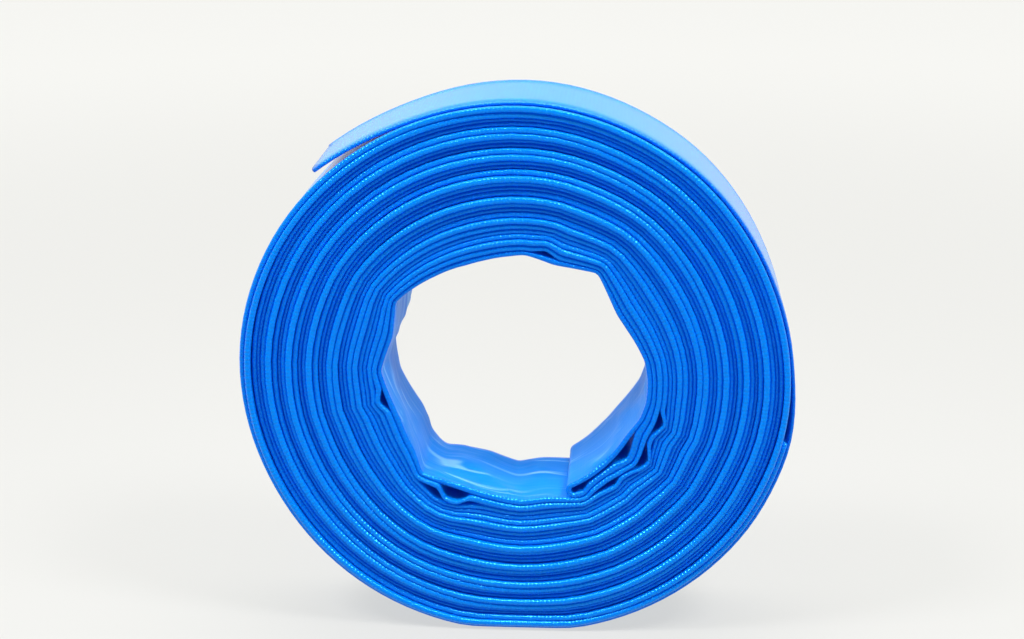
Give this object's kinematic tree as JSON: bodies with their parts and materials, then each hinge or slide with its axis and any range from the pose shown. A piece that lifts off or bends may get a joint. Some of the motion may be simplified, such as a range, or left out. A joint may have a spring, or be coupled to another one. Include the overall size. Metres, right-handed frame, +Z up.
{
  "type": "pvc lay-flat hose roll",
  "caption": "Flat PVC discharge hose doubled at its middle and wound into an open roll that stands on its rim.",
  "frame": {"origin": "on the floor under the middle of the roll, where its rim rests", "axes": "+Z up, +Y along the roll's axis and across the flat hose, +X across the roll, with the loose end at the upper -X side seen from -Y"},
  "size_m": [0.3, 0.0656, 0.2984],
  "materials": {
    "coated_pvc": "glossy calendered PVC, vivid blue"
  },
  "bodies": {
    "root": {"layflat_hose": "coated_pvc"}
  },
  "joints": []
}
